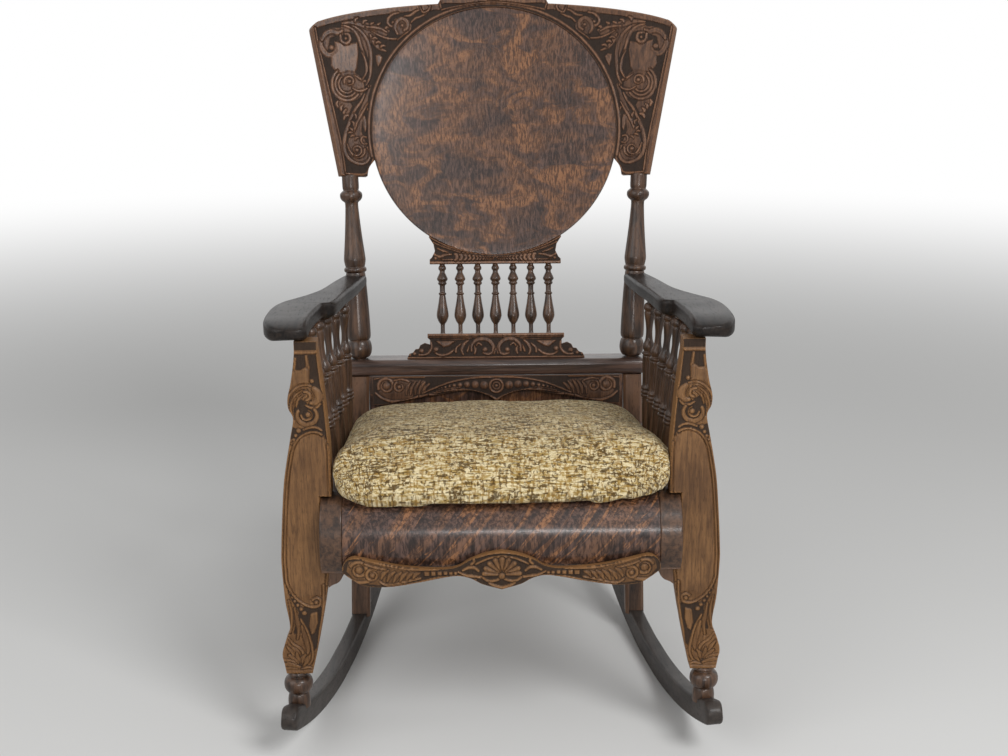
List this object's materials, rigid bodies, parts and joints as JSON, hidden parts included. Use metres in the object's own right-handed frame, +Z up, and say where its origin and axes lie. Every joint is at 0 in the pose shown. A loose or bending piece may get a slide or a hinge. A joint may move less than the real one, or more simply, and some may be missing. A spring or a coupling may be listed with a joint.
{
  "type": "roll-seat rocking chair",
  "caption": "Carved oak rocking chair on bow runners: roll seat, turned posts and spindles, flat arms, bent crest round a bent round back panel, and a loose seat cushion.",
  "frame": {"origin": "on the floor under the middle of the chair's width and depth, at rest on the level stretch of its runners", "axes": "+X to the right as seen from the front, +Y to the back of the chair, +Z up"},
  "size_m": [0.6512, 0.7544, 1.0592],
  "materials": {
    "frame_oak": "dark quarter-sawn oak, satin shellac",
    "carved_oak": "carved oak with a dark ground and rubbed highs",
    "figured_oak": "quarter-sawn oak with bright ray figure, glossy",
    "arm_oak": "near-black polished oak",
    "runner_oak": "dark dull oak, worn below",
    "chenille": "cream and gold chenille tweed",
    "screw_steel": "plain steel, dulled"
  },
  "bodies": {
    "chair": {"runner_right": "runner_oak", "runner_left": "runner_oak", "front_foot_right": "frame_oak", "front_foot_left": "frame_oak", "front_post_right": "carved_oak", "front_post_left": "carved_oak", "side_rail_right": "figured_oak", "side_rail_left": "figured_oak", "seat_roll": "figured_oak", "seat_board": "frame_oak", "seat_front_rail": "frame_oak", "seat_rear_rail": "frame_oak", "front_apron": "carved_oak", "corner_bracket_right": "frame_oak", "corner_bracket_left": "frame_oak", "rear_leg_right": "frame_oak", "rear_leg_left": "frame_oak", "back_post_right": "frame_oak", "back_post_left": "frame_oak", "back_shelf": "arm_oak", "crest_rail": "carved_oak", "round_back_panel": "figured_oak", "back_collar": "carved_oak", "back_pediment": "carved_oak", "back_spindle_1": "frame_oak", "back_spindle_2": "frame_oak", "back_spindle_3": "frame_oak", "back_spindle_4": "frame_oak", "back_spindle_5": "frame_oak", "back_spindle_6": "frame_oak", "back_spindle_7": "frame_oak", "lower_back_panel": "figured_oak", "carved_band": "carved_oak", "arm_right": "arm_oak", "arm_left": "arm_oak", "arm_spindle_right_1": "frame_oak", "arm_spindle_right_2": "frame_oak", "arm_spindle_right_3": "frame_oak", "arm_spindle_right_4": "frame_oak", "arm_spindle_right_5": "frame_oak", "arm_spindle_left_1": "frame_oak", "arm_spindle_left_2": "frame_oak", "arm_spindle_left_3": "frame_oak", "arm_spindle_left_4": "frame_oak", "arm_spindle_left_5": "frame_oak", "arm_screw_right": "screw_steel", "arm_screw_left": "screw_steel"},
    "cushion": {"seat_cushion": "chenille"}
  },
  "joints": [
    {"name": "cushion_lift", "type": "slide", "parent": "chair", "child": "cushion", "axis": [0, 0, 1], "range_m": [0, 0.25]}
  ]
}
